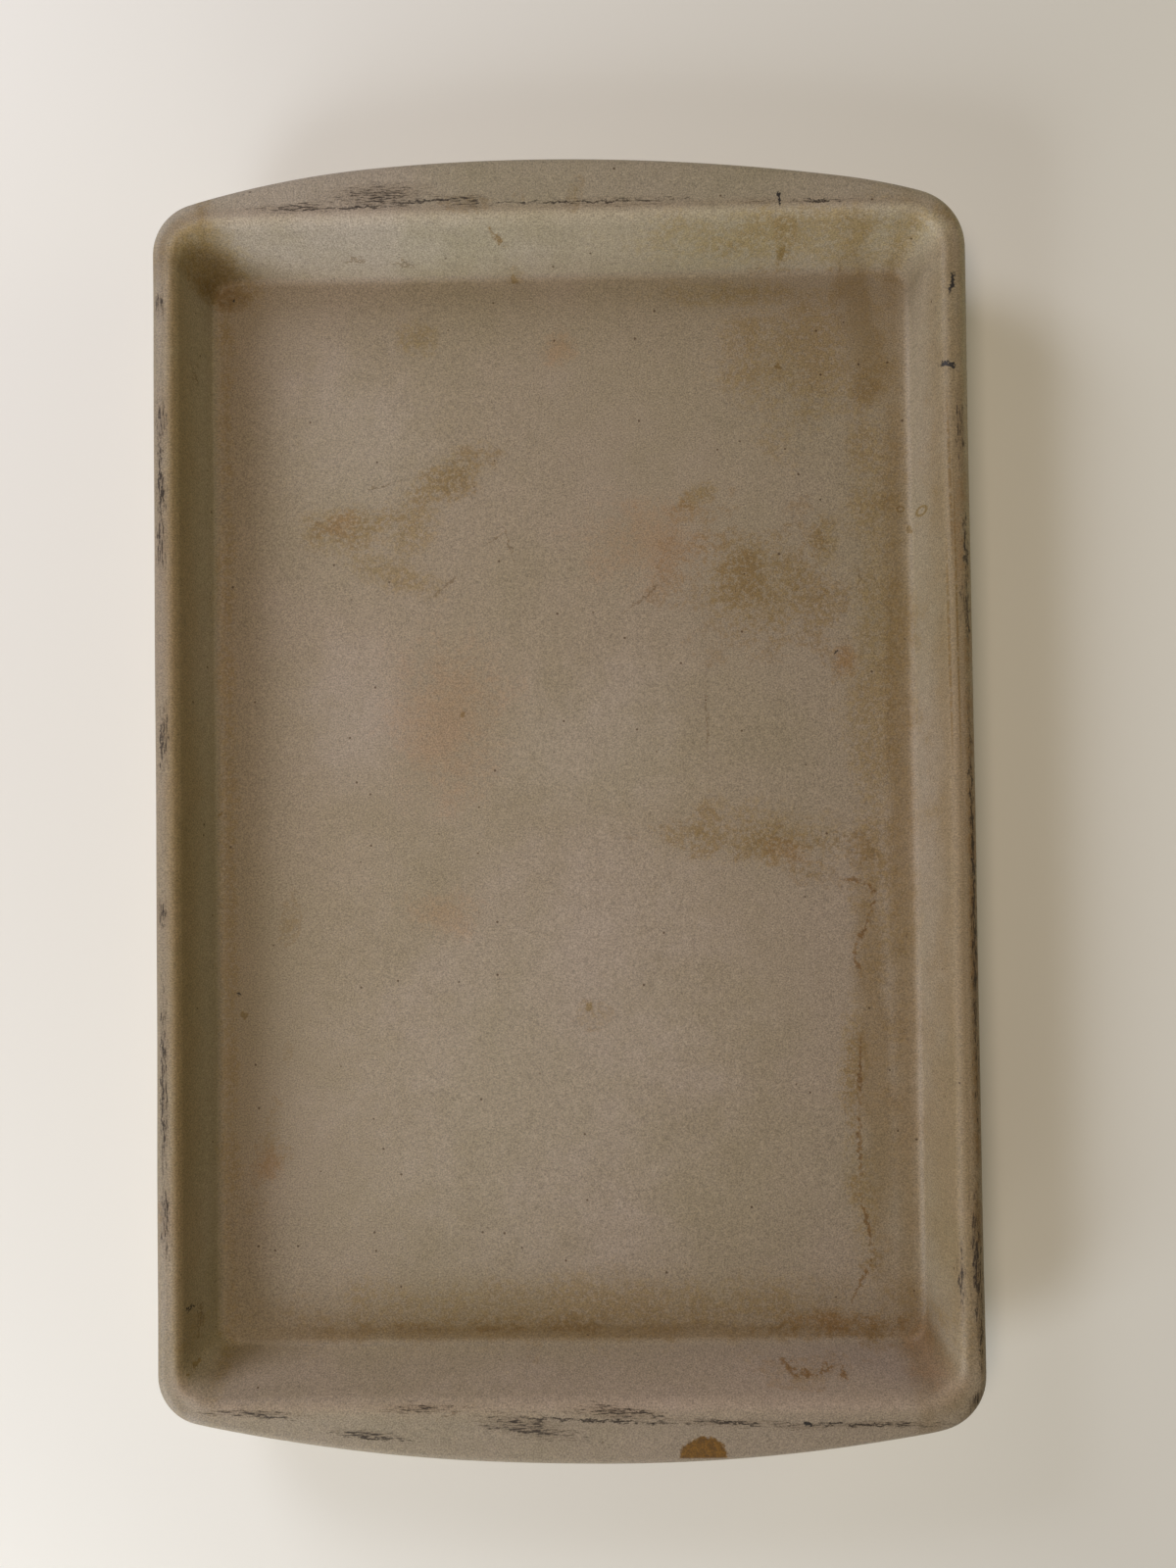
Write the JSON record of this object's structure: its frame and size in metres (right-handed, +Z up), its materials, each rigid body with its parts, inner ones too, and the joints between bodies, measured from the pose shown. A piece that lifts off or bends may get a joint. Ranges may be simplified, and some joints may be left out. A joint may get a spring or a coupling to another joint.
{
  "type": "stoneware baking tray",
  "caption": "Flat-floored unglazed stoneware baking tray with low flared walls, a full-round lip and a crescent handle flange moulded into each short end.",
  "frame": {"origin": "on the surface the tray stands on, under the middle of its floor", "axes": "+Y along the tray's length, from one handle flange to the other; +X across its width; +Z up, out of the open side"},
  "size_m": [0.266, 0.423, 0.031],
  "materials": {
    "stoneware": "matte"
  },
  "bodies": {
    "root": {"stoneware_tray": "stoneware"}
  },
  "joints": []
}
